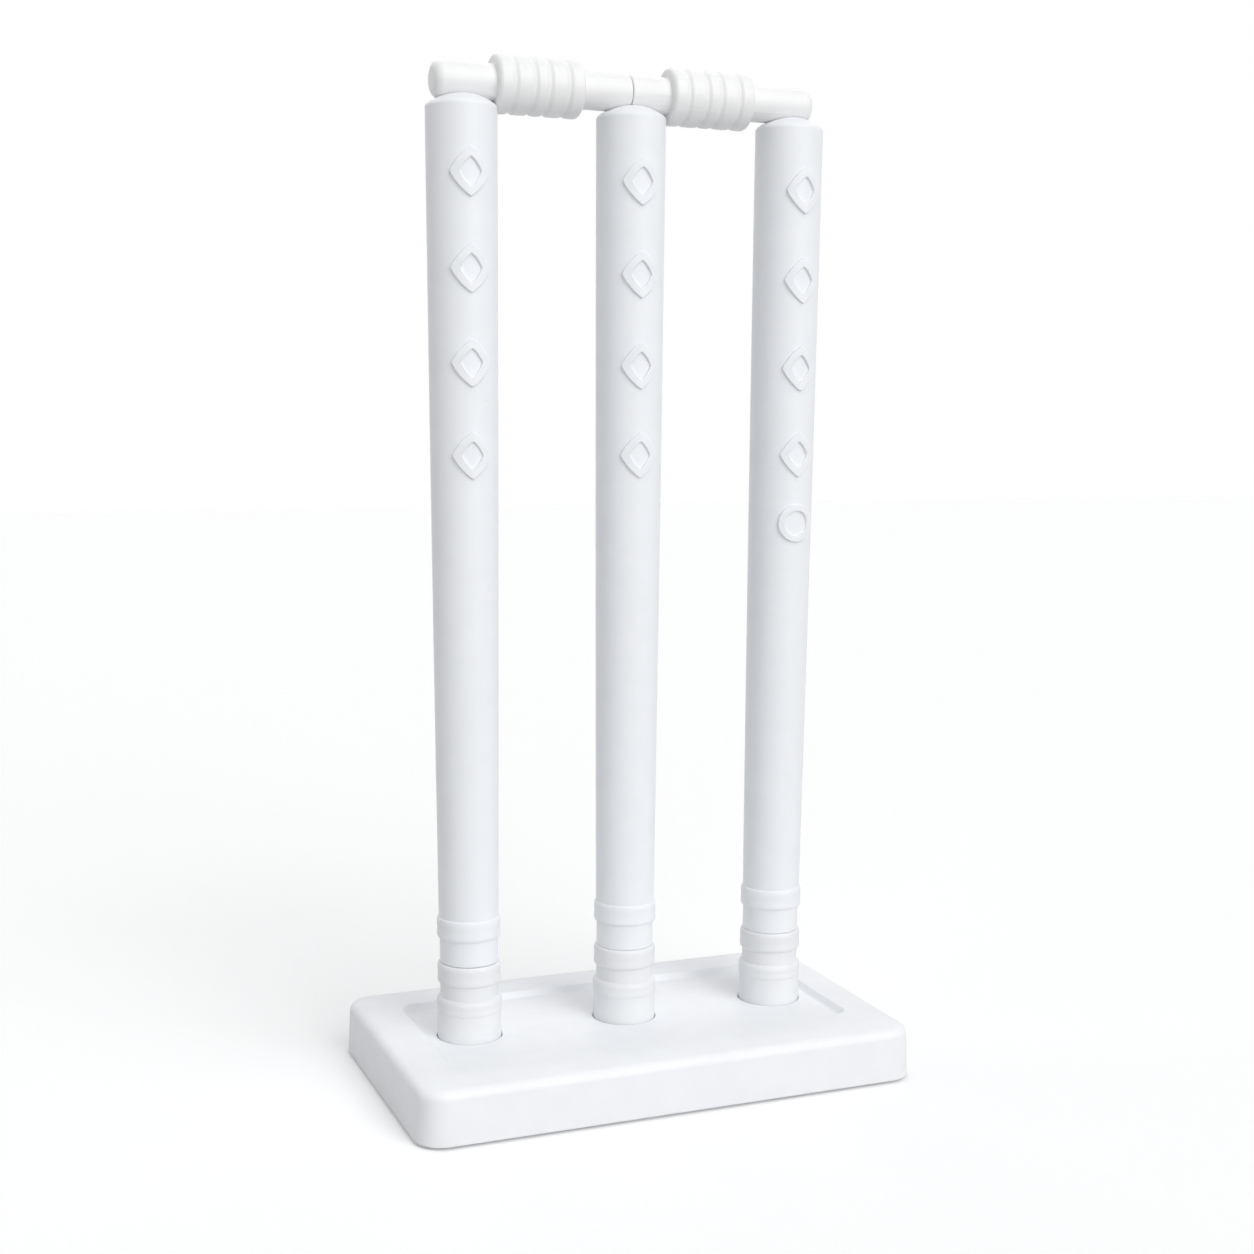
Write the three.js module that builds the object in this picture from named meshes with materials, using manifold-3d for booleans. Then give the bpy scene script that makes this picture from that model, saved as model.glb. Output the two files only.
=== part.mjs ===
// Cricket stumps that stand by themselves: a moulded tray with three sockets, three hollow stumps
// that plug into it, each a shaft on a ribbed foot, and two loose bails lying across their tops.
// Millimetres, +Z up, +X along the row. The origin is on the ground under the middle stump.
import * as THREE from "three";
import { mergeVertices } from "three/addons/utils/BufferGeometryUtils.js";
import Module from "manifold-3d";

const wasm = await Module();
wasm.setup();

// Driving dimensions of the wicket
const stumpSpacing = 95.3;
const stumpHeight = 512.1;
const stumpTopRadius = 18.85;
const baseEndReach = 53.7;
const baseWidth = 175;
const baseHeight = 32;

// Base tray: outer shell
const baseWall = 3;
const baseCornerRadius = 16;
const baseEdgeRadius = 6;
const baseDraft = 1.6;
const baseCrown = 1.6;
const baseCrownReach = 23;

// Base tray: sunk floor in its top with sloping walls, inside a rim at the ends and along the sides
const trayEndRim = 26.3;
const traySideRim = 34.5;
const trayDepth = 3.5;
const trayCornerRadius = 9;
const trayFillet = 2.4;
const trayWallRun = 2.5;
const trayLip = 0.9;

// Base tray: sockets and stiffening ribs underneath
const socketDepth = 26.8;
const socketClearance = 0.45;
const socketWall = 2.6;
const socketFloor = 2.2;
const socketLead = 0.7;
const drainRadius = 6;
const ribThickness = 2.2;
const ribGroundGap = 2;
const outerRibOffset = 38;

// Stump foot: the cup that plugs into a socket, heights from the tray floor
const footRadius = 18.1;
const footStep = 12.75;
const footBeadRadius = 18.55;
const footBeadToe = 0.2;
const footBeadTop = 21.85;
const footNeckRadius = 16.5;
const footRimBottom = 30.1;
const footRimTop = 41.9;
const footWall = 2.8;
const footWeb = 2.6;
const footWebHeight = 6;
const footRibThickness = 2;
const footChamfer = 1.2;
const seatClearance = 0.3;

// Raised bands on foot and shaft: a bead at each edge, a waist between them, a taper at the toe
const bandRadius = 18;
const bandToeRadius = 16.95;
const bandTaper = 2.2;
const bandLowBead = 1.4;
const bandLowInset = 0.2;
const bandHighBead = 3.2;
const bandWaist = 0.7;
const bandBevel = 0.7;

// Stump shaft, heights from the tray floor
const shaftBandBottom = 56.5;
const shaftBandTop = 68.4;
const shaftNeckRadius = 16.9;
const shaftSwellRadius = 18.4;
const shaftWall = 2.5;
const shaftTopWall = 3;
const shaftShoulderRadius = 5;
const shaftShoulderSweep = 67;
const spigotRadius = 14;
const spigotLength = 34;
const spigotChamfer = 1;

// Bails: a ribbed barrel between a short spigot and a long one that runs past the outer stump's axis
const bailOverhang = 13.45;
const bailBarrelLength = 47.4;
const bailShortSpigot = 25.6;
const bailSpigotRadius = 9.7;
const bailBarrelRadius = 15;
const bailOuterRound = 3;
const bailInnerRound = 1.2;
const bailBarrelRound = 2.6;
const bailGrooveDepth = 1.3;
const bailGrooveWidth = 3.6;
const bailGrooveShares = [-0.63, -0.173, 0.173, 0.63];
const bailSink = 4;
const bailSeatGap = 0.3;
const bailMeetingGap = 0.3;
const bailOffCentre = -2.5;

// Cutting tools run past what they cut by this much
const overrun = 2;

// Facets: sides of a round piece, steps of an arc, of the shaft's long curve and of a low crown
const roundSides = 24;
const bailSides = 24;
const cornerSteps = 5;
const arcSteps = 3;
const shaftSteps = 6;
const crownSteps = 2;

// The base's ends lie past the outer stumps, and its sunk floor lies inside its rims
const baseLength = 2 * (stumpSpacing + baseEndReach);
const trayLength = baseLength - 2 * trayEndRim;
const trayWidth = baseWidth - 2 * traySideRim;

// A bail runs from the middle stump's axis, less its share of the meeting gap, to past the outer stump
const bailLength = stumpSpacing + bailOverhang - bailMeetingGap / 2;

// Heights that several pieces share
const baseTop = baseHeight + baseCrown;
const trayFloor = baseTop - trayDepth;
const socketRadius = footRadius + socketClearance;
const socketBottom = trayFloor - socketDepth;
const footBottom = socketBottom + seatClearance;
const footWebBottom = socketBottom + footWebHeight;
const shaftShoulder = trayFloor + footRimTop + seatClearance;
const stumpTop = trayFloor + stumpHeight;
const bailAxisHeight = stumpTop + bailSpigotRadius - bailSink;
const stumpPlaces = { left: -stumpSpacing, middle: 0, right: stumpSpacing };

// Materials: one white moulding plastic, a little warmer on the bails
const basePlastic = new THREE.MeshStandardMaterial({ color: 0xeeeff2, roughness: 0.5, metalness: 0 });
const stumpPlastic = new THREE.MeshStandardMaterial({ color: 0xf0f1f3, roughness: 0.42, metalness: 0 });
const bailPlastic = new THREE.MeshStandardMaterial({ color: 0xf3f1ef, roughness: 0.38, metalness: 0 });

// Turns a closed three.js geometry into a solid, with its faces pointing out
function solidOf(geometry) {
  const bare = geometry.clone();
  bare.deleteAttribute("normal");
  bare.deleteAttribute("uv");
  const merged = mergeVertices(bare);
  const place = merged.attributes.position;
  const corners = [];
  let volume = 0;
  const a = new THREE.Vector3();
  const b = new THREE.Vector3();
  const c = new THREE.Vector3();
  for (let i = 0; i < merged.index.count; i += 3) {
    const trio = [merged.index.getX(i), merged.index.getX(i + 1), merged.index.getX(i + 2)];
    if (new Set(trio).size === 3) {
      corners.push(trio);
      a.fromBufferAttribute(place, trio[0]);
      b.fromBufferAttribute(place, trio[1]);
      c.fromBufferAttribute(place, trio[2]);
      volume += a.dot(b.cross(c));
    }
  }
  if (volume < 0) {
    corners.forEach((trio) => trio.reverse());
  }
  const triVerts = new Uint32Array(corners.flat());
  const vertProperties = new Float32Array(place.array);
  return new wasm.Manifold(new wasm.Mesh({ numProp: 3, vertProperties, triVerts }));
}

// Turns a solid back into a named mesh
function meshOf(name, solid, material) {
  const result = solid.getMesh();
  const geometry = new THREE.BufferGeometry();
  geometry.setAttribute("position", new THREE.BufferAttribute(new Float32Array(result.vertProperties), 3));
  geometry.setIndex(new THREE.BufferAttribute(new Uint32Array(result.triVerts), 1));
  geometry.computeVertexNormals();
  const mesh = new THREE.Mesh(geometry, material);
  mesh.name = name;
  return mesh;
}

// Points along an arc in the profile plane, from one angle to another in degrees
function arc(centreX, centreY, radius, from, to, steps) {
  const points = [];
  for (let i = 0; i <= steps; i += 1) {
    const angle = THREE.MathUtils.degToRad(from + ((to - from) * i) / steps);
    points.push(new THREE.Vector2(centreX + radius * Math.cos(angle), centreY + radius * Math.sin(angle)));
  }
  return points;
}

// Revolves a profile of radius and height about the vertical axis
function turned(profile, sides) {
  return new THREE.LatheGeometry(profile, sides).rotateX(Math.PI / 2);
}

// An upright cylinder between two heights
function post(radius, low, high, x) {
  const geometry = new THREE.CylinderGeometry(radius, radius, high - low, roundSides);
  return geometry.rotateX(Math.PI / 2).translate(x, 0, (low + high) / 2);
}

// A rounded rectangle lofted through rings, each with a height and how far it lies inside the outline
function roundedSlab(length, width, radius, rings) {
  const positions = [];
  const index = [];
  const ringCount = 4 * (cornerSteps + 1);
  for (const { z, inset } of rings) {
    const corner = Math.max(radius - inset, radius / 4);
    const reachX = length / 2 - inset - corner;
    const reachY = width / 2 - inset - corner;
    const centres = [[reachX, reachY], [-reachX, reachY], [-reachX, -reachY], [reachX, -reachY]];
    centres.forEach(([x, y], turn) => {
      for (const point of arc(x, y, corner, 90 * turn, 90 * turn + 90, cornerSteps)) {
        positions.push(point.x, point.y, z);
      }
    });
  }
  const capCentres = [rings[0].z, rings[rings.length - 1].z].map((z) => {
    positions.push(0, 0, z);
    return positions.length / 3 - 1;
  });
  const lastRing = (rings.length - 1) * ringCount;
  for (let i = 0; i < ringCount; i += 1) {
    const next = (i + 1) % ringCount;
    for (let ring = 0; ring < lastRing; ring += ringCount) {
      const above = ring + ringCount;
      index.push(ring + i, ring + next, above + next, ring + i, above + next, above + i);
    }
    index.push(capCentres[0], next, i, capCentres[1], lastRing + i, lastRing + next);
  }
  const geometry = new THREE.BufferGeometry();
  geometry.setAttribute("position", new THREE.BufferAttribute(new Float32Array(positions), 3));
  geometry.setIndex(index);
  return geometry;
}

// Rings of the base's block, taken in by an inset: a wall that leans in as it rises, a round edge,
// and a rim that climbs in a low curve towards the tray
function baseRings(low, inset) {
  const edge = baseEdgeRadius - inset;
  const high = baseHeight - inset;
  const rimStart = inset + baseDraft + edge;
  const rings = [{ z: low, inset }];
  for (const point of arc(0, high - edge, edge, 0, 90, cornerSteps)) {
    rings.push({ z: point.y, inset: rimStart - point.x });
  }
  for (let i = 1; i <= crownSteps; i += 1) {
    const share = i / crownSteps;
    const climb = baseCrown * Math.sin((Math.PI / 2) * share);
    rings.push({ z: high + climb, inset: rimStart + (baseCrownReach - rimStart) * share });
  }
  return rings;
}

// Upright stiffening wall under the tray, reaching into the thickness of the shell above it
function rib(sizeX, sizeY, x, y) {
  const high = baseTop - baseWall / 2;
  return new THREE.BoxGeometry(sizeX, sizeY, high - ribGroundGap).translate(x, y, (high + ribGroundGap) / 2);
}

// What one socket takes away: the drain, the bore and its lead-in
function socketHole(x) {
  return solidOf(turned([
    new THREE.Vector2(0, -overrun),
    new THREE.Vector2(drainRadius, -overrun),
    new THREE.Vector2(drainRadius, socketBottom),
    new THREE.Vector2(socketRadius, socketBottom),
    new THREE.Vector2(socketRadius, trayFloor - socketLead),
    new THREE.Vector2(socketRadius + socketLead, trayFloor),
    new THREE.Vector2(socketRadius + socketLead, trayFloor + overrun),
    new THREE.Vector2(0, trayFloor + overrun),
  ], roundSides).translate(x, 0, 0));
}

// The base's rounded block, with its sides and top taken in by an inset
function baseBlock(inset, low) {
  return solidOf(roundedSlab(baseLength, baseWidth, baseCornerRadius, baseRings(low, inset)));
}

// Base tray: shell open underneath, sunk floor, three sockets and a grid of ribs
function buildBaseTray() {
  const shell = baseBlock(0, 0).subtract(baseBlock(baseWall, -overrun));
  const underTray = solidOf(roundedSlab(trayLength + 2 * baseWall, trayWidth + 2 * baseWall,
    trayCornerRadius + baseWall,
    [{ z: trayFloor - baseWall, inset: 0 }, { z: baseTop - baseWall / 2, inset: 0 }]));
  const stiffeners = [
    rib(baseLength, ribThickness, 0, 0),
    rib(baseLength, ribThickness, 0, outerRibOffset),
    rib(baseLength, ribThickness, 0, -outerRibOffset),
  ];
  for (const step of [-2, -1, 0, 1, 2]) {
    stiffeners.push(rib(ribThickness, baseWidth, (step * stumpSpacing) / 2, 0));
  }
  let inside = underTray;
  for (const stiffener of stiffeners) {
    inside = inside.add(solidOf(stiffener));
  }
  for (const x of Object.values(stumpPlaces)) {
    inside = inside.add(solidOf(post(socketRadius + socketWall, socketBottom - socketFloor,
      trayFloor - baseWall / 2, x)));
  }
  const sunkFloor = solidOf(roundedSlab(trayLength, trayWidth, trayCornerRadius, [
    ...arc(trayWallRun + trayFillet, trayFloor + trayFillet, trayFillet, 270, 180, arcSteps)
      .map((point) => ({ z: point.y, inset: point.x })),
    ...arc(-trayLip, baseTop - trayLip, trayLip, 0, 90, arcSteps)
      .map((point) => ({ z: point.y, inset: point.x })),
    { z: baseTop + overrun, inset: -trayLip },
  ]));
  let tray = shell.add(inside.intersect(baseBlock(baseWall / 2, 0))).subtract(sunkFloor);
  for (const x of Object.values(stumpPlaces)) {
    tray = tray.subtract(socketHole(x));
  }
  return tray;
}

// Outline of a raised band from its toe up: a taper, a low bead, a shallow waist and a high bead
function bandOutline(low, high, radius, toeRadius) {
  return [
    new THREE.Vector2(toeRadius, low),
    new THREE.Vector2(radius - bandLowInset, low + bandTaper),
    new THREE.Vector2(radius - bandLowInset, low + bandTaper + bandLowBead),
    new THREE.Vector2(radius - bandWaist, (low + high) / 2),
    new THREE.Vector2(radius, high - bandHighBead),
    new THREE.Vector2(radius, high - bandBevel),
    new THREE.Vector2(radius - bandBevel, high),
  ];
}

// Stump foot: a cup for the shaft's spigot above a web, and a cored plug with crossed ribs below it
function buildFoot() {
  const boreRadius = spigotRadius + seatClearance;
  const coreRadius = footRadius - footWall;
  const webTop = footWebBottom + footWeb;
  const stepHeight = trayFloor + footStep;
  const beadTop = trayFloor + footBeadTop;
  const rimBottom = trayFloor + footRimBottom;
  const rimTop = trayFloor + footRimTop;
  const cup = solidOf(turned([
    new THREE.Vector2(0, footWebBottom),
    new THREE.Vector2(coreRadius, footWebBottom),
    new THREE.Vector2(coreRadius, footBottom),
    new THREE.Vector2(footRadius - footChamfer, footBottom),
    new THREE.Vector2(footRadius, footBottom + footChamfer),
    new THREE.Vector2(footRadius, stepHeight - footBeadToe),
    ...bandOutline(stepHeight, beadTop, footBeadRadius, footRadius - footBeadToe),
    new THREE.Vector2(footNeckRadius, beadTop),
    new THREE.Vector2(footNeckRadius, rimBottom),
    ...bandOutline(rimBottom, rimTop, bandRadius, bandToeRadius),
    new THREE.Vector2(boreRadius, rimTop),
    new THREE.Vector2(boreRadius, webTop),
    new THREE.Vector2(0, webTop),
  ], roundSides));
  const coreDepth = footWeb / 2 + footWebBottom - footBottom;
  const across = new THREE.BoxGeometry(2 * coreRadius, footRibThickness, coreDepth)
    .translate(0, 0, footBottom + coreDepth / 2);
  const along = across.clone().rotateZ(Math.PI / 2);
  return cup.add(solidOf(across)).add(solidOf(along));
}

// Stump shaft: a hollow tapered tube under a low crown, which carries on from the shoulder's slope
// and has a shallow seat for the bails pressed across it
function buildShaft() {
  const bandLow = trayFloor + shaftBandBottom;
  const bandHigh = trayFloor + shaftBandTop;
  const sweep = THREE.MathUtils.degToRad(shaftShoulderSweep);
  const shoulderCentre = stumpTopRadius - shaftShoulderRadius;
  const crownRadius = shoulderCentre / Math.cos(sweep) + shaftShoulderRadius;
  const crownCentre = stumpTop - crownRadius;
  const shoulderStart = crownCentre + shoulderCentre * Math.tan(sweep);
  const spigotEnd = shaftShoulder - spigotLength;
  const ceiling = stumpTop - bailSink - bailSeatGap - shaftTopWall;
  const outside = new THREE.QuadraticBezierCurve(
    new THREE.Vector2(shaftNeckRadius, bandHigh),
    new THREE.Vector2(shaftSwellRadius, (bandHigh + shoulderStart) / 2),
    new THREE.Vector2(stumpTopRadius, shoulderStart),
  );
  const shaft = solidOf(turned([
    new THREE.Vector2(0, ceiling),
    new THREE.Vector2(shoulderCentre, ceiling),
    new THREE.Vector2(stumpTopRadius - shaftWall, ceiling - shaftWall),
    new THREE.Vector2(footNeckRadius - shaftWall, bandLow),
    new THREE.Vector2(footNeckRadius - shaftWall, shaftShoulder + shaftWall),
    new THREE.Vector2(spigotRadius - shaftWall, shaftShoulder),
    new THREE.Vector2(spigotRadius - shaftWall, spigotEnd),
    new THREE.Vector2(spigotRadius - spigotChamfer, spigotEnd),
    new THREE.Vector2(spigotRadius, spigotEnd + spigotChamfer),
    new THREE.Vector2(spigotRadius, shaftShoulder),
    new THREE.Vector2(footNeckRadius, shaftShoulder),
    new THREE.Vector2(footNeckRadius, bandLow),
    ...bandOutline(bandLow, bandHigh, bandRadius, bandToeRadius),
    ...outside.getPoints(shaftSteps),
    ...arc(shoulderCentre, shoulderStart, shaftShoulderRadius, 0, shaftShoulderSweep, arcSteps).slice(1),
    ...arc(0, crownCentre, crownRadius, shaftShoulderSweep, 90, crownSteps).slice(1, -1),
    new THREE.Vector2(0, stumpTop),
  ], roundSides));
  const seatRadius = bailSpigotRadius + bailSeatGap;
  const seatLength = 2 * (stumpTopRadius + overrun);
  const seat = new THREE.CylinderGeometry(seatRadius, seatRadius, seatLength, bailSides);
  return shaft.subtract(solidOf(seat.rotateZ(Math.PI / 2).translate(0, 0, bailAxisHeight)));
}

// Bail: its profile runs along the axis from the short spigot's end to the long one's
function buildBail() {
  const barrelStart = bailShortSpigot;
  const barrelEnd = bailShortSpigot + bailBarrelLength;
  const barrelMiddle = (barrelStart + barrelEnd) / 2;
  const barrelCore = bailBarrelRadius - bailBarrelRound;
  const profile = [
    new THREE.Vector2(0, 0),
    ...arc(bailSpigotRadius - bailInnerRound, bailInnerRound, bailInnerRound, -90, 0, arcSteps),
    new THREE.Vector2(bailSpigotRadius, barrelStart),
    ...arc(barrelCore, barrelStart + bailBarrelRound, bailBarrelRound, -90, 0, arcSteps),
  ];
  for (const share of bailGrooveShares) {
    const middle = barrelMiddle + (share * bailBarrelLength) / 2;
    for (const step of [-1, -0.5, 0, 0.5, 1]) {
      const depth = (bailGrooveDepth * (1 + Math.cos(Math.PI * step))) / 2;
      profile.push(new THREE.Vector2(bailBarrelRadius - depth, middle + (step * bailGrooveWidth) / 2));
    }
  }
  profile.push(
    ...arc(barrelCore, barrelEnd - bailBarrelRound, bailBarrelRound, 0, 90, arcSteps),
    new THREE.Vector2(bailSpigotRadius, barrelEnd),
    ...arc(bailSpigotRadius - bailOuterRound, bailLength - bailOuterRound, bailOuterRound, 0, 90, arcSteps),
    new THREE.Vector2(0, bailLength),
  );
  return turned(profile, bailSides);
}

const group = new THREE.Group();
group.add(meshOf("base_tray", buildBaseTray(), basePlastic));

const foot = buildFoot();
const shaft = buildShaft();
for (const [place, x] of Object.entries(stumpPlaces)) {
  const footMesh = meshOf(`stump_foot_${place}`, foot, stumpPlastic);
  const shaftMesh = meshOf(`stump_shaft_${place}`, shaft, stumpPlastic);
  footMesh.position.x = x;
  shaftMesh.position.x = x;
  group.add(footMesh, shaftMesh);
}

// The bails mirror each other: their short spigots meet over the middle stump, a little off its axis
const bail = buildBail();
for (const [place, side] of [["left", -1], ["right", 1]]) {
  const laid = bail.clone().rotateY((side * Math.PI) / 2);
  const bailMesh = meshOf(`bail_${place}`, solidOf(laid), bailPlastic);
  bailMesh.position.set(bailOffCentre + (side * bailMeetingGap) / 2, 0, bailAxisHeight);
  group.add(bailMesh);
}

export default group;
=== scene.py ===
"""White plastic cricket stumps on their moulded base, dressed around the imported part.

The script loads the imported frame, builds smooth meshes over its pieces at the same sizes, gives
each piece a moulded-plastic finish, and sets up a plain studio with a camera.
"""
import logging
import math
from collections.abc import Sequence
from dataclasses import dataclass, field
from enum import Enum

import bmesh
import bpy
from bmesh.types import BMEdge, BMesh, BMFace, BMVert
from bpy.types import Material, Node, NodeOutputs, NodeSocket, NodeTree, Object
from mathutils import Matrix, Vector


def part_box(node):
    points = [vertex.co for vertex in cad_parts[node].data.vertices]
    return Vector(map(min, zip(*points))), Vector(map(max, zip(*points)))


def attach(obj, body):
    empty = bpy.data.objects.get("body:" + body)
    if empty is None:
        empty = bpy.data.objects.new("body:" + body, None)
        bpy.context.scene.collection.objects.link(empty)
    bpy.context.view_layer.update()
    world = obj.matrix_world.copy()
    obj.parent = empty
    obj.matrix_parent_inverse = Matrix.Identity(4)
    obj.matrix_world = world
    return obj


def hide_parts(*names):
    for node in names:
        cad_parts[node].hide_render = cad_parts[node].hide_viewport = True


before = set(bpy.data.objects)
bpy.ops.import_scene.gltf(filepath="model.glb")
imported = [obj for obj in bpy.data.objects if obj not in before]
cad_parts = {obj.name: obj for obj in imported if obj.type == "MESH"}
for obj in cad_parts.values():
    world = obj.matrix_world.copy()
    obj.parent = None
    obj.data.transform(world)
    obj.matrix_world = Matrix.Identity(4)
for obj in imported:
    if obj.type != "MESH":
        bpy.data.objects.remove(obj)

MM = 0.001
FULL_TURN = 2 * math.pi
QUARTER_TURN = math.pi / 2
HALF_TURN = math.pi
HALF_TURN_DEGREES = 180
UP = Vector((0, 0, 1))
ALONG = Vector((1, 0, 0))
FRONT = Vector((0, -1, 0))
WELD_GAP = 1e-7
FILLET_SHARE = 0.48
LARGEST_WEIGHT = 100
WHITE = (1.0, 1.0, 1.0)
BLACK = (0.0, 0.0, 0.0)
ROUND_DIGITS = 9
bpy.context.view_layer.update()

log = logging.getLogger("stumps")

Corner = tuple[float, float, float]
Point = tuple[float, float]
Colour = tuple[float, float, float]


class Place(Enum):
    """The three stumps, as the node names call them."""

    LEFT = "left"
    MIDDLE = "middle"
    RIGHT = "right"


class Outline(Enum):
    """Outlines of the plain raised marks; the value is the power of the curve that draws them."""

    LOZENGE = 1.25
    RING = 2.0


def rounded_outline(corners: Sequence[Corner], steps: int = 5) -> list[Point]:
    """Turns corners into an outline with a fillet at each.

    Args:
        corners: Radius, height and fillet radius of each corner, in order.
        steps: Steps of each fillet.

    Returns:
        The points of the outline.
    """
    points: list[Point] = []
    last = len(corners) - 1
    for i, (across, up, fillet) in enumerate(corners):
        here = Vector((across, up))
        if fillet <= 0 or i in (0, last):
            points.append((across, up))
            continue
        back = Vector(corners[i - 1][:2]) - here
        ahead = Vector(corners[i + 1][:2]) - here
        half = back.angle(ahead) / 2
        reach = min(fillet / math.tan(half), FILLET_SHARE * back.length, FILLET_SHARE * ahead.length)
        radius = reach * math.tan(half)
        middle = (back.normalized() + ahead.normalized()).normalized()
        centre = here + middle * radius / math.sin(half)
        start = here + back.normalized() * reach - centre
        end = here + ahead.normalized() * reach - centre
        for step in range(steps + 1):
            spoke = start.slerp(end, step / steps) * radius
            points.append((centre.x + spoke.x, centre.y + spoke.y))
    return points


def quarter_round(start: Point, end: Point, steps: int) -> list[Point]:
    """Points of a quarter round that leaves upright and ends level.

    Args:
        start: Radius and height where the round starts.
        end: Radius and height where it ends.
        steps: Steps of the round.

    Returns:
        Radius and height of each point.
    """
    points = []
    for step in range(steps + 1):
        angle = QUARTER_TURN * step / steps
        points.append((start[0] + (end[0] - start[0]) * (1 - math.cos(angle)),
                       start[1] + (end[1] - start[1]) * math.sin(angle)))
    return points


def spun(outline: Sequence[Point], axis: Vector, sides: int) -> BMesh:
    """Spins an outline of radius and height into a closed body.

    Args:
        outline: Radius and distance along the axis of each point.
        axis: Direction that the outline is spun about.
        sides: Steps of the full turn.

    Returns:
        The closed mesh, facing out.
    """
    side = UP if axis is ALONG else FRONT
    bm = bmesh.new()
    verts = [bm.verts.new(axis * along + side * radius) for radius, along in outline]
    edges = [bm.edges.new(pair) for pair in zip(verts, verts[1:])]
    bmesh.ops.spin(bm, geom=verts + edges, cent=(0, 0, 0), axis=axis, dvec=(0, 0, 0),
                   angle=FULL_TURN, steps=sides, use_merge=True, use_duplicate=False)
    bmesh.ops.remove_doubles(bm, verts=bm.verts, dist=WELD_GAP)
    bmesh.ops.recalc_face_normals(bm, faces=bm.faces)
    return bm


@dataclass(frozen=True)
class RoundedBlock:
    """A rounded rectangle lofted upwards through rings.

    Attributes:
        length: Size along the row.
        width: Size across the row.
        radius: Radius of the upright corners.
        least_share: Share of that radius that a ring far inside still keeps.
        corner_steps: Steps of each corner.
    """

    length: float
    width: float
    radius: float
    least_share: float = 0.25
    corner_steps: int = 12

    def places(self, inset: float, height: float) -> list[Vector]:
        """Gives the points of one ring.

        Args:
            inset: How far the ring lies inside the outline.
            height: Height of the ring.

        Returns:
            The points, in order round the ring.
        """
        corner = max(self.radius - inset, self.radius * self.least_share)
        reach = Vector((self.length / 2 - inset - corner, self.width / 2 - inset - corner, 0))
        points = []
        for quarter in range(4):
            side = Vector((1 if quarter in (0, 3) else -1, 1 if quarter in (0, 1) else -1, 0))
            for step in range(self.corner_steps + 1):
                angle = QUARTER_TURN * (quarter + step / self.corner_steps)
                spoke = Vector((math.cos(angle), math.sin(angle), 0)) * corner
                points.append(reach * side + spoke + Vector((0, 0, height)))
        return points

    def build(self, rings: Sequence[Point]) -> BMesh:
        """Lofts the block.

        Args:
            rings: Inset and height of each ring, from the lowest up.

        Returns:
            The closed mesh, facing out.
        """
        bm = bmesh.new()
        places = self.places(*rings[0])
        ring = [bm.verts.new(place) for place in places]
        edges = [bm.edges.new((ring[i - 1], ring[i])) for i in range(len(ring))]
        bm.faces.new(ring)
        for inset, height in rings[1:]:
            made = bmesh.ops.extrude_edge_only(bm, edges=edges)["geom"]
            edges = [item for item in made if isinstance(item, BMEdge)]
            raised = [item for item in made if isinstance(item, BMVert)]
            old_places = {vert.co.to_tuple(ROUND_DIGITS): i for i, vert in enumerate(ring)}
            order = [old_places[vert.co.to_tuple(ROUND_DIGITS)] for vert in raised]
            places = self.places(inset, height)
            for i, vert in zip(order, raised):
                vert.co = places[i]
            ring = [vert for _, vert in sorted(zip(order, raised), key=lambda pair: pair[0])]
        bm.faces.new(ring)
        bmesh.ops.recalc_face_normals(bm, faces=bm.faces)
        return bm


def slab(size: Corner, centre: Corner) -> BMesh:
    """Makes a plain block of a size around its centre."""
    bm = bmesh.new()
    bmesh.ops.create_cube(bm, size=1)
    bmesh.ops.scale(bm, vec=size, verts=bm.verts)
    bmesh.ops.translate(bm, vec=centre, verts=bm.verts)
    return bm


def as_object(bm: BMesh, name: str) -> Object:
    """Puts a finished mesh into the scene as an object at the origin."""
    mesh = bpy.data.meshes.new(name)
    bm.to_mesh(mesh)
    bm.free()
    obj = bpy.data.objects.new(name, mesh)
    bpy.context.scene.collection.objects.link(obj)
    return obj


def combined(base: Object, tools: Sequence[tuple[Object, str]]) -> Object:
    """Joins solids to a solid or cuts them from it, and removes the tools.

    Args:
        base: The solid that is changed.
        tools: Each tool with its boolean operation.

    Returns:
        The changed solid.
    """
    for tool, operation in tools:
        step = base.modifiers.new(tool.name, "BOOLEAN")
        step.operation = operation
        step.solver = "MANIFOLD"
        step.object = tool
    bpy.context.view_layer.update()
    graph = bpy.context.evaluated_depsgraph_get()
    whole = bpy.data.meshes.new_from_object(base.evaluated_get(graph))
    base.modifiers.clear()
    base.data = whole
    whole.name = base.name
    for tool, _ in tools:
        bpy.data.objects.remove(tool)
    return base


def smoothed(obj: Object, angle: float = 32.0) -> Object:
    """Shades a piece smooth, with its edges over an angle in degrees kept sharp."""
    obj.data.shade_smooth()
    obj.data.set_sharp_from_angle(angle=math.radians(angle))
    weights = obj.modifiers.new("even_flats", "WEIGHTED_NORMAL")
    weights.keep_sharp = True
    weights.weight = LARGEST_WEIGHT
    return obj


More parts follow.
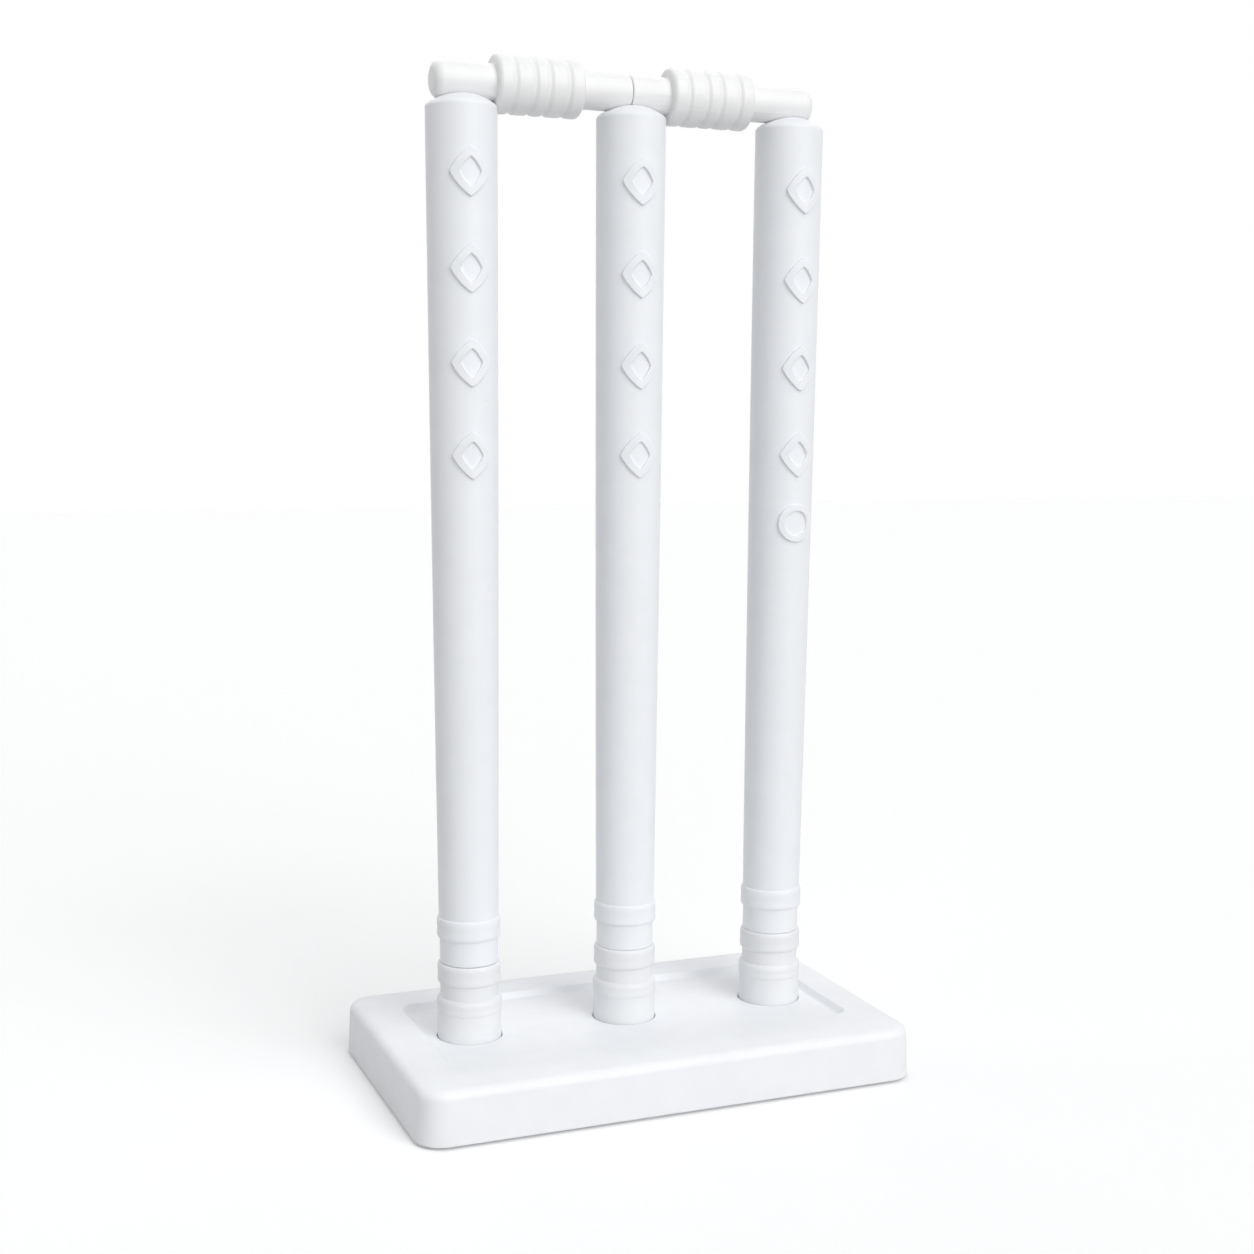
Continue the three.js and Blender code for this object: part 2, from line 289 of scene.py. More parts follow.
class Sheet:
    """A node tree that is filled one node at a time."""

    def __init__(self, tree: NodeTree) -> None:
        """Keeps the tree."""
        self.tree = tree

    def node(self, kind: str, inputs: dict[str | int, object] | None = None,
             **settings: object) -> Node:
        """Adds a node.

        Args:
            kind: Blender's name of the node type.
            inputs: Values or output sockets for the node's inputs.
            settings: Properties of the node.

        Returns:
            The new node.
        """
        made = self.tree.nodes.new(kind)
        for key, value in settings.items():
            setattr(made, key, value)
        self.fill(made, inputs or {})
        return made

    def fill(self, node: Node, inputs: dict[str | int, object]) -> None:
        """Sets a node's inputs to values, or links them to output sockets."""
        for key, value in inputs.items():
            if isinstance(value, NodeSocket):
                self.tree.links.new(value, node.inputs[key])
            else:
                node.inputs[key].default_value = value

    def math(self, operation: str, first: object, second: object, clamp: bool = False) -> NodeSocket:
        """Adds a Math node and gives its result."""
        made = self.node("ShaderNodeMath", {0: first, 1: second}, operation=operation, use_clamp=clamp)
        return made.outputs[0]

    def noise(self, place: NodeSocket, scale: object, detail: float, roughness: float = 0.5) -> NodeSocket:
        """Adds a Noise Texture and gives its value."""
        made = self.node("ShaderNodeTexNoise", {"Vector": place, "Scale": scale, "Detail": detail,
                                                "Roughness": roughness})
        return made.outputs[0]

    def ramp(self, value: NodeSocket, low: float, high: float) -> NodeSocket:
        """Maps a range of a value smoothly to 0 and 1."""
        made = self.node("ShaderNodeMapRange", {"Value": value, "From Min": low, "From Max": high,
                                                "To Min": 0.0, "To Max": 1.0},
                         interpolation_type="SMOOTHSTEP")
        return made.outputs[0]

    def mixed(self, share: NodeSocket, first: object, second: object) -> NodeSocket:
        """Adds a colour Mix node and gives its result."""
        made = self.node("ShaderNodeMix", {"Factor": share}, data_type="RGBA")
        places = [i for i, socket in enumerate(made.inputs) if socket.type == "RGBA"]
        values = [(*value, 1.0) if isinstance(value, tuple) else value for value in (first, second)]
        self.fill(made, dict(zip(places, values)))
        return next(socket for socket in made.outputs if socket.type == "RGBA")


def new_group(name: str, numbers: dict[str, float], *outputs: str
              ) -> tuple[NodeTree, Sheet, NodeOutputs, Node]:
    """Starts a shader node group that works from a place.

    Args:
        name: Name of the group.
        numbers: Default of each further input.
        outputs: Name of each output.

    Returns:
        The group, its sheet, what it is given and its output node.
    """
    tree = bpy.data.node_groups.new(name, "ShaderNodeTree")
    tree.interface.new_socket(name="Place", in_out="INPUT", socket_type="NodeSocketVector")
    for label, default in numbers.items():
        made = tree.interface.new_socket(name=label, in_out="INPUT", socket_type="NodeSocketFloat")
        made.default_value = default
    for label in outputs:
        tree.interface.new_socket(name=label, in_out="OUTPUT", socket_type="NodeSocketFloat")
    sheet = Sheet(tree)
    return tree, sheet, sheet.node("NodeGroupInput").outputs, sheet.node("NodeGroupOutput")


def moulded_skin_group() -> NodeTree:
    """Builds the skin of moulded plastic: fine texture of the mould, slow flow waves and a mottle.

    Returns:
        The group, with a height in metres and a mottle from 0 to 1.
    """
    tree, sheet, given, result = new_group(
        "moulded_skin",
        {"Grain Scale": 2600.0, "Grain Depth": 1.5e-5, "Wave Scale": 22.0, "Wave Depth": 1.2e-4},
        "Height", "Mottle")
    place, grain_scale, wave_scale = given["Place"], given["Grain Scale"], given["Wave Scale"]
    grain = sheet.noise(place, grain_scale, detail=2.0, roughness=0.6)
    pits = sheet.node("ShaderNodeTexVoronoi", {"Vector": place, "Scale": grain_scale},
                      feature="SMOOTH_F1").outputs["Distance"]
    wave = sheet.noise(place, wave_scale, detail=2.0, roughness=0.45)
    pitted = sheet.math("ADD", grain, sheet.math("MULTIPLY", pits, 0.5))
    fine = sheet.math("MULTIPLY", pitted, given["Grain Depth"])
    slow = sheet.math("MULTIPLY", wave, given["Wave Depth"])
    blotch = sheet.noise(place, sheet.math("MULTIPLY", wave_scale, 3.0), detail=3.0, roughness=0.55)
    sheet.fill(result, {"Height": sheet.math("ADD", fine, slow),
                        "Mottle": sheet.ramp(blotch, low=0.3, high=0.7)})
    return tree


def handling_group() -> NodeTree:
    """Builds the marks of handling: thin scuffs in two directions, thinned out by a slow noise.

    Returns:
        The group, with a scuff mask from 0 to 1.
    """
    tree, sheet, given, result = new_group("handling", {"Amount": 0.5}, "Scuffs")
    masks = []
    stretch = 26.0
    for turn, shift in ((0.5, 0.0), (2.1, 4.0)):
        turned = sheet.node("ShaderNodeMapping", {"Vector": given["Place"],
                                                  "Location": (shift, shift, shift),
                                                  "Rotation": (turn, turn / 2, turn),
                                                  "Scale": (1.0, stretch, stretch)}).outputs[0]
        hair = sheet.noise(turned, scale=34.0, detail=1.5, roughness=0.4)
        masks.append(sheet.ramp(hair, low=0.7, high=0.76))
    area = sheet.ramp(sheet.noise(given["Place"], scale=16.0, detail=2.0), low=0.5, high=0.72)
    spread = sheet.math("MULTIPLY", sheet.math("MAXIMUM", *masks), area)
    sheet.fill(result, {"Scuffs": sheet.math("MULTIPLY", spread, given["Amount"])})
    return tree


def low_greying_group() -> NodeTree:
    """Builds a grey that darkens a piece towards the bottom, in patches.

    Returns:
        The group, with a mask from 0 to 1 of how much it darkens.
    """
    tree, sheet, given, result = new_group(
        "low_greying", {"Low": 0.0, "High": 0.03, "Amount": 0.3}, "Low Grey")
    height = sheet.node("ShaderNodeSeparateXYZ", {0: given["Place"]}).outputs["Z"]
    falling = sheet.node("ShaderNodeMapRange", {
        "Value": height, "From Min": given["Low"], "From Max": given["High"],
        "To Min": 1.0, "To Max": 0.0}).outputs[0]
    mottle = sheet.noise(given["Place"], scale=60.0, detail=4.0, roughness=0.6)
    low_share = sheet.math("MULTIPLY", falling, sheet.ramp(mottle, low=0.35, high=0.75))
    sheet.fill(result, {"Low Grey": sheet.math("MULTIPLY", low_share, given["Amount"])})
    return tree


@dataclass(frozen=True)
class MouldedPlastic:
    """White moulded plastic.

    Attributes:
        name: Name of the material.
        slot: Material slot of the record; not used.
        colour: Colour of the clean plastic.
        roughness: Roughness of the clean skin.
        wave_depth: Depth of the slow flow waves in metres.
        scuffs: How many scuffs it has.
        greying: How much it greys towards the bottom, in patches.
        greying_low, greying_high: Heights between which the grey thins out.
        greying_colour: Colour of the grey.
        mottle_shade, scuff_shade: Share of the colour that each keeps.
        scuff_depth: Depth of a scuff in metres.
        mottle_roughness, scuff_roughness, greying_roughness: Roughness that each adds.
        grain_scale, grain_depth: Fineness of the mould's texture, and its depth in metres.
        coat, coat_roughness: Weight and roughness of the thin clear sheen over it.
        refraction: Index of refraction.
    """

    name: str
    slot: str
    colour: Colour
    roughness: float
    wave_depth: float
    scuffs: float
    greying: float = 0.0
    greying_low: float = 0.0
    greying_high: float = 0.03
    greying_colour: Colour = (0.5, 0.49, 0.47)
    mottle_shade: float = 0.982
    scuff_shade: float = 0.72
    scuff_depth: float = 2.0e-5
    mottle_roughness: float = 0.08
    scuff_roughness: float = 0.2
    greying_roughness: float = 0.4
    grain_scale: float = 2600.0
    grain_depth: float = 1.2e-5
    coat: float = 0.06
    coat_roughness: float = 0.18
    refraction: float = 1.49

    def build(self, groups: dict[str, NodeTree]) -> Material:
        """Makes the material.

        Args:
            groups: The shared node groups by name.

        Returns:
            The material.
        """
        material = bpy.data.materials.new(self.name)
        material.use_nodes = True
        sheet = Sheet(material.node_tree)
        shader = material.node_tree.nodes["Principled BSDF"]
        place = sheet.node("ShaderNodeTexCoord").outputs["Object"]
        skin = sheet.node("ShaderNodeGroup", {
            "Place": place, "Grain Scale": self.grain_scale, "Grain Depth": self.grain_depth,
            "Wave Depth": self.wave_depth}, node_tree=groups["moulded_skin"])
        worn = sheet.node("ShaderNodeGroup", {"Place": place, "Amount": self.scuffs},
                          node_tree=groups["handling"])
        greying_node = sheet.node("ShaderNodeGroup", {
            "Place": place, "Low": self.greying_low, "High": self.greying_high, "Amount": self.greying},
            node_tree=groups["low_greying"])
        mottle, scuffs, greying = skin.outputs["Mottle"], worn.outputs["Scuffs"], greying_node.outputs["Low Grey"]
        shade = tuple(channel * self.mottle_shade for channel in self.colour)
        grey = tuple(channel * self.scuff_shade for channel in self.colour)
        coloured = sheet.mixed(scuffs, sheet.mixed(mottle, self.colour, shade), grey)
        # Greys the colour towards the bottom of each piece, in patches.
        coloured = sheet.mixed(greying, coloured, self.greying_colour)
        rough = self.roughness
        for mask, added in ((mottle, self.mottle_roughness), (scuffs, self.scuff_roughness),
                            (greying, self.greying_roughness)):
            rough = sheet.math("ADD", rough, sheet.math("MULTIPLY", mask, added), clamp=True)
        scratched = sheet.math("MULTIPLY", scuffs, self.scuff_depth)
        lifted = sheet.math("SUBTRACT", skin.outputs["Height"], scratched)
        bump = sheet.node("ShaderNodeBump", {"Height": lifted, "Distance": 1.0, "Strength": 1.0})
        sheet.fill(shader, {"Base Color": coloured, "Roughness": rough, "Normal": bump.outputs[0],
                            "Coat Weight": self.coat, "Coat Roughness": self.coat_roughness,
                            "IOR": self.refraction})
        return material


@dataclass
class Finishes:
    """The finishes of the set, with the node groups that they share."""

    groups: dict[str, NodeTree] = field(default_factory=lambda: {
        "moulded_skin": moulded_skin_group(),
        "handling": handling_group(),
        "low_greying": low_greying_group(),
    })
    built: dict[str, Material] = field(default_factory=dict)

    def dress(self, obj: Object, finish: MouldedPlastic) -> None:
        """Gives a piece its finish."""
        if finish.name not in self.built:
            self.built[finish.name] = finish.build(self.groups)
        obj.data.materials.clear()
        obj.data.materials.append(self.built[finish.name])


BASE_PLASTIC = MouldedPlastic("base_white_plastic", "base_plastic", colour=(0.92, 0.935, 0.96),
                              roughness=0.46, wave_depth=6.0e-5, scuffs=0.05, greying=0.06, greying_high=0.012)
STUMP_PLASTIC = MouldedPlastic("stump_white_plastic", "stump_plastic", colour=(0.885, 0.903, 0.932),
                               roughness=0.4, wave_depth=1.4e-4, scuffs=0.15)
FOOT_PLASTIC = MouldedPlastic("foot_white_plastic", "stump_plastic", colour=(0.83, 0.84, 0.856),
                              roughness=0.42, wave_depth=1.2e-4, scuffs=0.2, greying=0.1, greying_low=0.028,
                              greying_high=0.05)
BAIL_PLASTIC = MouldedPlastic("bail_white_plastic", "bail_plastic", colour=(0.89, 0.89, 0.89),
                              roughness=0.34, wave_depth=1.2e-4, scuffs=0.3)


@dataclass
class BaseTray:
    """The moulded base: a shell open underneath with a sunk floor, three sockets and ribs."""

    low: Vector
    high: Vector
    stump_spacing: float
    foot_radius: float
    tray_end_rim: float = 26.3 * MM
    tray_side_rim: float = 34.5 * MM
    wall: float = 3 * MM
    corner_radius: float = 16 * MM
    edge_radius: float = 6 * MM
    ground_edge: float = 0.4 * MM
    ground_gap: float = 1.6 * MM
    ground_lip: float = 6 * MM
    ground_flange: float = 9 * MM
    flange_height: float = 4 * MM
    draft: float = 1.6 * MM
    crown: float = 1.6 * MM
    crown_reach: float = 23 * MM
    crown_steps: int = 20
    crown_first_step: int = 7
    fillet_steps: int = 8
    tray_depth: float = 3.5 * MM
    tray_corner: float = 9 * MM
    tray_fillet: float = 2.6 * MM
    tray_wall_foot: float = 3.6 * MM
    tray_wall_head: float = 0.2 * MM
    tray_lip: float = 1.3 * MM
    socket_depth: float = 26.8 * MM
    socket_clearance: float = 0.45 * MM
    socket_wall: float = 2.6 * MM
    socket_floor: float = 2.2 * MM
    socket_lead: float = 0.7 * MM
    socket_sides: int = 96
    lead_steps: int = 5
    drain_radius: float = 6 * MM
    rib_thickness: float = 2.2 * MM
    rib_ground_gap: float = 2 * MM
    outer_rib_offset: float = 38 * MM
    overrun: float = 2 * MM

    @property
    def tray_floor(self) -> float:
        """Height of the sunk floor."""
        return self.high.z - self.tray_depth

    @property
    def tray_length(self) -> float:
        """Length of the sunk floor."""
        return self.high.x - self.low.x - 2 * self.tray_end_rim

    @property
    def tray_width(self) -> float:
        """Width of the sunk floor."""
        return self.high.y - self.low.y - 2 * self.tray_side_rim

    def block(self, inset: float, low: float) -> BMesh:
        """Lofts the base's rounded block, taken in by an inset on its sides and top.

        Args:
            inset: How far its sides and top lie inside the base's own.
            low: Height of its underside.

        Returns:
            The closed mesh: a foot on the ground that is set in, a drafted wall over it, a round edge
            and a rim that climbs and flattens out.
        """
        size = self.high - self.low
        top = self.high.z - inset
        rim = self.draft + self.edge_radius
        climb = []
        for step in range(self.crown_first_step, self.crown_steps + 1):
            share = step / self.crown_steps
            climb.append((rim + (self.crown_reach - rim) * share,
                          top - self.crown * (1 - math.sin(QUARTER_TURN * share))))
        slope = (climb[0][1] - top + self.crown) / (climb[0][0] - rim)
        edge = self.edge_radius - inset
        foot = [(inset, low, 0)]
        if inset == 0:
            foot = [(self.ground_lip, low, 0), (self.ground_lip, low + self.ground_gap, 0),
                    (0, low + self.ground_gap, self.ground_edge)]
        section = [*foot, (inset + self.draft, top - self.crown - slope * edge, edge), (*climb[0], 0)]
        rings = rounded_outline(section, self.fillet_steps) + climb[1:]
        return RoundedBlock(size.x, size.y, self.corner_radius).build(rings)

    def sunk_floor(self) -> BMesh:
        """Lofts what the sunk floor takes away: a sloping wall with a fillet below and a round lip."""
        top = self.high.z
        rings = rounded_outline([
            (self.tray_wall_foot + 2 * self.tray_fillet, self.tray_floor, 0),
            (self.tray_wall_foot, self.tray_floor, self.tray_fillet),
            (self.tray_wall_head, top, self.tray_lip), (-2 * self.tray_lip, top, 0),
        ], self.fillet_steps)[:-1]
        rings.append((rings[-1][0], top + self.overrun))
        return RoundedBlock(self.tray_length, self.tray_width, self.tray_corner).build(rings)

    def socket_tools(self, x: float) -> tuple[Object, Object]:
        """Makes the wall that one socket adds and the bore, lead-in and drain that it takes away."""
        radius = self.foot_radius + self.socket_clearance
        bottom = self.tray_floor - self.socket_depth
        outer = radius + self.socket_wall
        foot, head = bottom - self.socket_floor, self.tray_floor - self.wall / 2
        wall = spun([(0, foot), (outer, foot), (outer, head), (0, head)], UP, self.socket_sides)
        lead = quarter_round((radius, self.tray_floor - self.socket_lead),
                             (radius + self.socket_lead, self.tray_floor), self.lead_steps)
        above = self.tray_floor + self.overrun
        hole = spun([(0, -self.overrun), (self.drain_radius, -self.overrun), (self.drain_radius, bottom),
                     (radius, bottom), *lead, (radius + self.socket_lead, above), (0, above)],
                    UP, self.socket_sides)
        for bm in (wall, hole):
            bmesh.ops.translate(bm, vec=(x, 0, 0), verts=bm.verts)
        return as_object(wall, "socket_wall"), as_object(hole, "socket_hole")

    def rib(self, size_x: float, size_y: float, x: float, y: float) -> Object:
        """Makes one upright stiffening rib that reaches into the shell above it."""
        top = self.high.z - self.wall / 2
        foot = self.rib_ground_gap
        return as_object(slab((size_x, size_y, top - foot), (x, y, (top + foot) / 2)), "rib")

    def build(self) -> Object:
        """Builds the base as one closed piece."""
        base = as_object(self.block(0, self.low.z), "base_shell")
        hollow = as_object(self.block(self.wall, self.flange_height), "hollow")
        size = self.high - self.low
        mouth = RoundedBlock(size.x, size.y, self.corner_radius).build(
            [(self.ground_flange, -self.overrun),
             (self.ground_flange, self.flange_height + self.overrun)])
        hollow = combined(hollow, [(as_object(mouth, "mouth"), "UNION")])
        limit = as_object(self.block(self.wall / 2, self.low.z - self.overrun), "limit")
        under = RoundedBlock(self.tray_length + 2 * self.wall, self.tray_width + 2 * self.wall,
                             self.tray_corner + self.wall)
        under_rings = [(0, self.tray_floor - self.wall), (0, self.high.z - self.wall / 2)]
        inside = as_object(under.build(under_rings), "under_tray")
        half_spacing = self.stump_spacing / 2
        ribs = [self.rib(size.x, self.rib_thickness, 0, side * self.outer_rib_offset)
                for side in (-1, 0, 1)]
        ribs += [self.rib(self.rib_thickness, size.y, step * half_spacing, 0) for step in range(-2, 3)]
        sockets = [self.socket_tools(side * self.stump_spacing) for side in (-1, 0, 1)]
        parts = ribs + [wall for wall, _ in sockets]
        inside = combined(inside, [(part, "UNION") for part in parts] + [(limit, "INTERSECT")])
        sunk = as_object(self.sunk_floor(), "sunk_floor")
        steps = [(hollow, "DIFFERENCE"), (inside, "UNION"), (sunk, "DIFFERENCE")]
        steps += [(hole, "DIFFERENCE") for _, hole in sockets]
        return smoothed(combined(base, steps))


@dataclass
class Stump:
    """One stump: a hollow tapered shaft, its foot and the plain marks raised on its front.

    The heights that have a default are over the sunk floor, the others over the ground.
    """

    place: Place
    x: float
    tray_floor: float
    top: float
    foot_bottom: float
    top_radius: float
    foot_radius: float
    bail_axis: float
    bail_radius: float
    mark_turn: float
    seam_gap: float = 0.1 * MM
    sides: int = 160
    neck_radius: float = 16.5 * MM
    band_radius: float = 18 * MM
    band_toe_radius: float = 17.1 * MM
    band_turn: float = 2 * MM
    band_waist: float = 0.16 * MM
    band_round: float = 3 * MM
    band_steps: int = 8
    foot_step: float = 15.2 * MM
    foot_bead_radius: float = 18.55 * MM
    foot_bead_toe: float = 0.1 * MM
    foot_bead_top: float = 24.3 * MM
    foot_rim_bottom: float = 32.5 * MM
    foot_rim_top: float = 44.2 * MM
    foot_wall: float = 2.8 * MM
    foot_web: float = 2.6 * MM
    foot_web_height: float = 5.7 * MM
    foot_rib: float = 2 * MM
    seat_gap: float = 0.3 * MM
    spigot_radius: float = 14 * MM
    spigot_length: float = 34 * MM
    shaft_band_bottom: float = 58.9 * MM
    shaft_band_top: float = 70.9 * MM
    shaft_low_radius: float = 16.9 * MM
    shaft_swell_radius: float = 18.4 * MM
    shaft_wall: float = 2.5 * MM
    shoulder_radius: float = 2.5 * MM
    shoulder_sweep: float = math.radians(53.5)
    ceiling_depth: float = 7.3 * MM
    taper_steps: int = 40
    crown_rings: int = 56
    seat_softness: float = 1.1 * MM
    mark_heights: tuple[float, ...] = (471 * MM, 423 * MM, 375 * MM, 327.2 * MM)
    round_mark_height: float = 288.5 * MM
    mark_half_width: float = 10.6 * MM
    mark_half_height: float = 12.4 * MM
    mark_stroke: float = 3.7 * MM
    mark_rise: float = 1.5 * MM
    mark_edge: float = 0.55 * MM
    mark_root: float = 0.5 * MM
    mark_sides: int = 96
    mark_edge_steps: int = 4
    mark_edge_angle: float = 0.8
    shoulder_steps: int = 12
    band_run_out: float = 2 * MM
    fine_round: float = 0.2 * MM
    lip_round: float = 0.3 * MM
    seat_round: float = 0.4 * MM
    web_round: float = 0.5 * MM
    ceiling_round: float = 1 * MM
    plug_round: float = 1.2 * MM

    @property
    def crown_radius(self) -> float:
        """Radius of the low crown that carries on from the shoulder's slope."""
        core = self.top_radius - self.shoulder_radius
        return core / math.cos(self.shoulder_sweep) + self.shoulder_radius

    @property
    def shoulder_start(self) -> float:
        """Height where the shaft's side turns in to its shoulder."""
        rise = (self.top_radius - self.shoulder_radius) * math.tan(self.shoulder_sweep)
        return self.top - self.crown_radius + rise

    def band(self, low: float, high: float, radius: float, toe: float, head: float) -> list[Corner]:
        """Corners of one raised band: a short turn at its foot, a faint waist and a wide round head.

        Args:
            low: Height of its lower edge.
            high: Height of its upper edge.
            radius: Radius where it stands out most.
            toe: Radius of its lower edge.
            head: Radius of its upper edge.

        Returns:
            The corners from the lower edge up.
        """
        turn_top, round_bottom = low + self.band_turn, high - self.band_round
        turn = quarter_round((low, toe), (turn_top, radius), self.band_steps)
        points = [(across, up) for up, across in turn[:-1]]
        for step in range(self.band_steps):
            share = step / self.band_steps
            dip = self.band_waist * (1 - math.cos(FULL_TURN * share)) / 2
            points.append((radius - dip, turn_top + (round_bottom - turn_top) * share))
        points += quarter_round((radius, round_bottom), (head, high), self.band_steps)
        return [(*point, 0.0) for point in points]

    def shaft_radius(self, height: float) -> float:
        """Outer radius of the shaft at a height above its band."""
        low = self.tray_floor + self.shaft_band_top
        share = min(max((height - low) / (self.shoulder_start - low), 0.0), 1.0)
        rest = 1 - share
        return rest * rest * self.shaft_low_radius + 2 * rest * share * self.shaft_swell_radius \
            + share * share * self.top_radius

    def build_shaft(self) -> Object:
        """Builds the shaft, with the seat for the bails pressed into its crown."""
        shoulder = self.tray_floor + self.foot_rim_top + self.seam_gap
        spigot_end = shoulder - self.spigot_length
        band_low = self.tray_floor + self.shaft_band_bottom
        band_high = self.tray_floor + self.shaft_band_top
        start = self.shoulder_start
        core = self.top_radius - self.shoulder_radius
        ceiling = self.top - self.ceiling_depth
        inner = self.spigot_radius - self.shaft_wall
        low_inner = self.neck_radius - self.shaft_wall
        outline = rounded_outline([
            (0, ceiling, 0), (core, ceiling, self.ceiling_round),
            (self.top_radius - self.shaft_wall, ceiling - self.shaft_wall, self.ceiling_round),
            (low_inner, band_low, 0), (low_inner, shoulder + self.shaft_wall, self.seat_round),
            (inner, shoulder, self.seat_round), (inner, spigot_end, self.lip_round),
            (self.spigot_radius, spigot_end, self.ceiling_round),
            (self.spigot_radius, shoulder, self.fine_round),
            (self.neck_radius, shoulder, self.seat_round),
            (self.neck_radius, band_low, self.fine_round),
            *self.band(band_low, band_high, self.band_radius, self.band_toe_radius,
                       self.shaft_low_radius),
            (self.shaft_low_radius, band_high + self.band_run_out, 0),
        ])
        for step in range(1, self.taper_steps + 1):
            height = band_high + (start - band_high) * step / self.taper_steps
            outline.append((self.shaft_radius(height), height))
        for step in range(1, self.shoulder_steps + 1):
            angle = self.shoulder_sweep * step / self.shoulder_steps
            outline.append((core + self.shoulder_radius * math.cos(angle),
                            start + self.shoulder_radius * math.sin(angle)))
        edge = self.crown_radius * math.cos(self.shoulder_sweep)
        for step in range(1, self.crown_rings + 1):
            across = edge * (1 - step / self.crown_rings)
            drop = self.crown_radius - math.sqrt(self.crown_radius ** 2 - across ** 2)
            outline.append((across, self.top - drop))
        bm = spun(outline, UP, self.sides)
        self.press_seat(bm)
        bmesh.ops.translate(bm, vec=(self.x, 0, 0), verts=bm.verts)
        return smoothed(as_object(bm, f"shaft_{self.place.value}"))

    def press_seat(self, bm: BMesh) -> None:
        """Lowers the shaft's crown to a trough along the row, with soft edges."""
        radius = self.bail_radius + self.seat_gap
        soft = self.seat_softness
        for vert in bm.verts:
            if vert.co.z > self.shoulder_start and abs(vert.co.y) < radius:
                trough = self.bail_axis - math.sqrt(radius * radius - vert.co.y * vert.co.y)
                share = min(max(0.5 + 0.5 * (trough - vert.co.z) / soft, 0.0), 1.0)
                vert.co.z = trough + (vert.co.z - trough) * share - soft * share * (1 - share)

    def build_foot(self) -> Object:
        """Builds the foot: a rimmed cup above a web, and a cored plug with crossed ribs."""
        floor = self.tray_floor
        core = self.foot_radius - self.foot_wall
        bore = self.spigot_radius + self.seat_gap
        web = self.foot_bottom + self.foot_web_height
        rim_low, rim_high = floor + self.foot_rim_bottom, floor + self.foot_rim_top
        step, bead_top = floor + self.foot_step, floor + self.foot_bead_top
        toe = self.foot_radius - self.foot_bead_toe
        outline = rounded_outline([
            (0, web, 0), (core, web, self.web_round), (core, self.foot_bottom, self.lip_round),
            (self.foot_radius, self.foot_bottom, self.plug_round),
            (self.foot_radius, step - self.foot_bead_toe, self.fine_round),
            *self.band(step, bead_top, self.foot_bead_radius, toe, self.neck_radius),
            (self.neck_radius, rim_low, self.fine_round),
            *self.band(rim_low, rim_high, self.band_radius, self.band_toe_radius, self.neck_radius),
            (bore, rim_high, self.lip_round), (bore, web + self.foot_web, self.seat_round),
            (0, web + self.foot_web, 0),
        ])
        foot = as_object(spun(outline, UP, self.sides), f"foot_{self.place.value}")
        depth = web - self.foot_bottom + self.foot_web / 2
        middle = self.foot_bottom + depth / 2 + self.seat_gap
        ribs = []
        for turn in (0, QUARTER_TURN):
            bm = slab((2 * core + self.foot_wall, self.foot_rib, depth), (0, 0, middle))
            bmesh.ops.rotate(bm, cent=(0, 0, 0), matrix=Matrix.Rotation(turn, 3, "Z"), verts=bm.verts)
            ribs.append((as_object(bm, "foot_rib"), "UNION"))
        foot = combined(foot, ribs)
        foot.data.transform(Matrix.Translation((self.x, 0, 0)))
        return smoothed(foot)

    def build_mark(self, name: str, height: float, outline: Outline) -> Object:
        """Builds one plain raised mark, wrapped on the front of the shaft.

        Args:
            name: Name of the piece.
            height: Height of its middle.
            outline: Curve that draws it.

        Returns:
            The mark.
        """
        half = Vector((self.mark_half_width, self.mark_half_width))
        stroke = self.mark_stroke
        if outline is Outline.LOZENGE:
            half.y = self.mark_half_height
            stroke *= math.sqrt(2)
        bm = bmesh.new()
        loops = []
        for inset in (0, stroke):
            verts = bmesh.ops.create_circle(bm, cap_ends=False, radius=1,
                                            segments=self.mark_sides)["verts"]
            for vert in verts:
                total = abs(vert.co.x) ** outline.value + abs(vert.co.y) ** outline.value
                reach = total ** (-1 / outline.value)
                vert.co = Vector((vert.co.x * reach * (half.x - inset),
                                  vert.co.y * reach * (half.y - inset), 0))
            loops += {edge for vert in verts for edge in vert.link_edges}
        faces = bmesh.ops.bridge_loops(bm, edges=loops)["faces"]
        raised = bmesh.ops.extrude_face_region(bm, geom=faces, use_keep_orig=True)["geom"]
        top = [item for item in raised if isinstance(item, BMVert)]
        bmesh.ops.translate(bm, vec=(0, 0, self.mark_rise + self.mark_root), verts=top)
        rim = {edge for item in raised if isinstance(item, BMFace) for edge in item.edges
               if edge.calc_face_angle(0) > self.mark_edge_angle}
        bmesh.ops.bevel(bm, geom=list(rim), offset=self.mark_edge, segments=self.mark_edge_steps,
                        profile=0.5, affect="EDGES", material=-1)
        bmesh.ops.recalc_face_normals(bm, faces=bm.faces)
        middle = math.radians(self.mark_turn)
        for vert in bm.verts:
            level = height + vert.co.y
            skin = self.shaft_radius(level)
            angle = middle + vert.co.x / skin
            out = skin - self.mark_root + vert.co.z
            vert.co = Vector((self.x + out * math.sin(angle), -out * math.cos(angle), level))
        return smoothed(as_object(bm, name))

    def build(self) -> tuple[Object, Object, list[Object]]:
        """Builds the shaft, the foot and the marks."""
        drawn = [(height, Outline.LOZENGE) for height in self.mark_heights]
        if self.place is Place.RIGHT:
            drawn.append((self.round_mark_height, Outline.RING))
        marks = [self.build_mark(f"mark_{self.place.value}_{i}", self.tray_floor + height, outline)
                 for i, (height, outline) in enumerate(drawn, start=1)]
        return self.build_shaft(), self.build_foot(), marks


